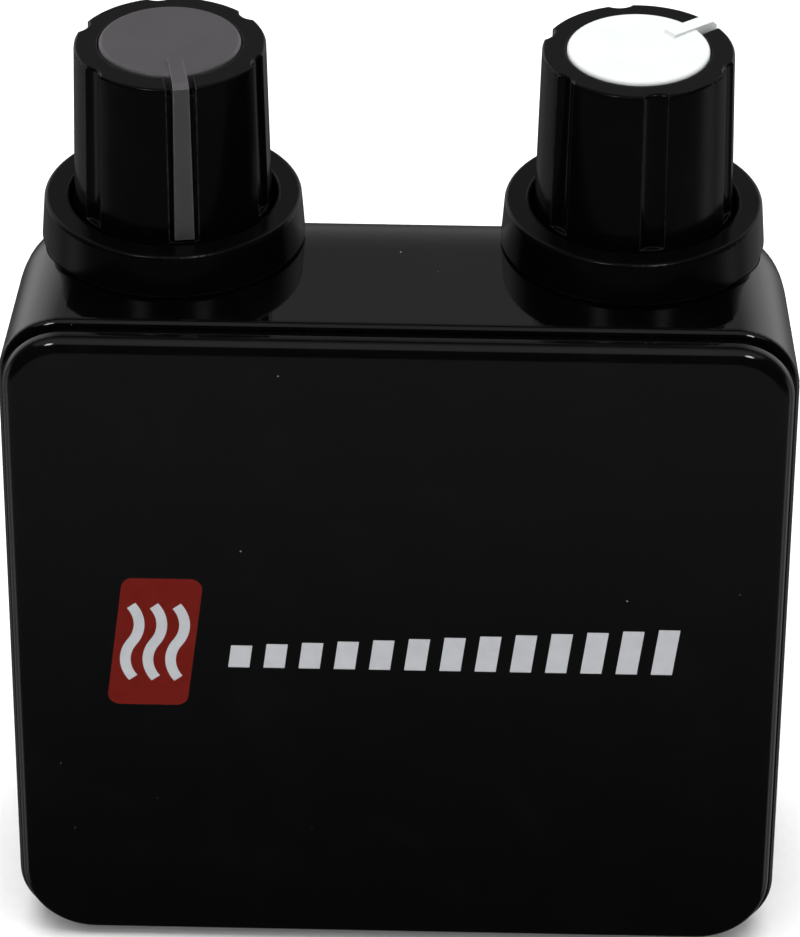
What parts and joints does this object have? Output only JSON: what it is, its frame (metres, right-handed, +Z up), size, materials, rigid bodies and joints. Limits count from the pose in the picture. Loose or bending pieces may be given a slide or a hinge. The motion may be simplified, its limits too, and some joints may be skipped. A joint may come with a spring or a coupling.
{
  "type": "two-knob control box",
  "caption": "Small gloss black control box with a raised cover and push-on potentiometer knobs in satin collars on its top face, for setting the heat of clothing zones.",
  "frame": {"origin": "middle of the box's overall footprint, on the underside", "axes": "+Z up through the knobs, the cover faces -Y, +X to the right of someone facing the cover"},
  "size_m": [0.0584, 0.0254, 0.0715],
  "materials": {
    "case_gloss": "mirror gloss black",
    "cover_gloss": "gloss black",
    "collar_satin": "satin black",
    "knob_satin": "satin black",
    "cap_grey": "satin grey",
    "cap_white": "satin white",
    "badge_red": "gloss red print",
    "print_grey": "light grey print",
    "seal_rubber": "matte",
    "board_green": "solder mask",
    "chip_black": "moulded",
    "can_metal": "plated",
    "capacitor_sleeve": "shrink sleeve",
    "tray_plastic": "moulded",
    "cell_jacket": "printed jacket",
    "contact_steel": "nickel plated",
    "contact_brass": "plated",
    "screw_steel": "black zinc",
    "pot_plastic": "moulded",
    "track_phenolic": "phenolic wafer",
    "bushing_zinc": "die cast",
    "nut_brass": "nickel plated",
    "shaft_aluminium": "turned"
  },
  "bodies": {
    "housing": {"main_housing": "case_gloss", "front_cover": "cover_gloss", "cover_gasket": "seal_rubber", "badge_tile": "badge_red", "badge_symbol": "print_grey", "level_bars": "print_grey", "circuit_board": "board_green", "microcontroller": "chip_black", "timing_crystal": "can_metal", "chip_resistors": "chip_black", "filter_capacitors": "capacitor_sleeve", "radio_board": "board_green", "radio_shield": "can_metal", "antenna_coil": "contact_brass", "battery_tray": "tray_plastic", "battery_cell_lower": "cell_jacket", "battery_cell_upper": "cell_jacket", "contact_plates": "contact_steel", "contact_springs": "contact_steel", "case_screws": "screw_steel", "board_screws": "screw_steel", "knob_collar_left": "collar_satin", "pot_housing_left": "pot_plastic", "pot_track_left": "track_phenolic", "pot_bushing_left": "bushing_zinc", "pot_washer_left": "contact_steel", "pot_nut_left": "nut_brass", "pot_terminals_left": "contact_brass", "knob_collar_right": "collar_satin", "pot_housing_right": "pot_plastic", "pot_track_right": "track_phenolic", "pot_bushing_right": "bushing_zinc", "pot_washer_right": "contact_steel", "pot_nut_right": "nut_brass", "pot_terminals_right": "contact_brass"},
    "left_knob": {"knob_body_left": "knob_satin", "knob_cap_left": "cap_grey", "pot_shaft_left": "shaft_aluminium", "pot_rotor_left": "pot_plastic", "pot_wiper_left": "contact_brass"},
    "right_knob": {"knob_body_right": "knob_satin", "knob_cap_right": "cap_white", "pot_shaft_right": "shaft_aluminium", "pot_rotor_right": "pot_plastic", "pot_wiper_right": "contact_brass"}
  },
  "joints": [
    {"name": "left_knob_turn", "type": "hinge", "parent": "housing", "child": "left_knob", "pos_m": [-0.017, 0.00215, 0.0565], "axis": [0, 0, 1], "range_deg": [-160, 140]},
    {"name": "right_knob_turn", "type": "hinge", "parent": "housing", "child": "right_knob", "pos_m": [0.017, 0.00215, 0.0565], "axis": [0, 0, 1], "range_deg": [-280, 20]}
  ]
}
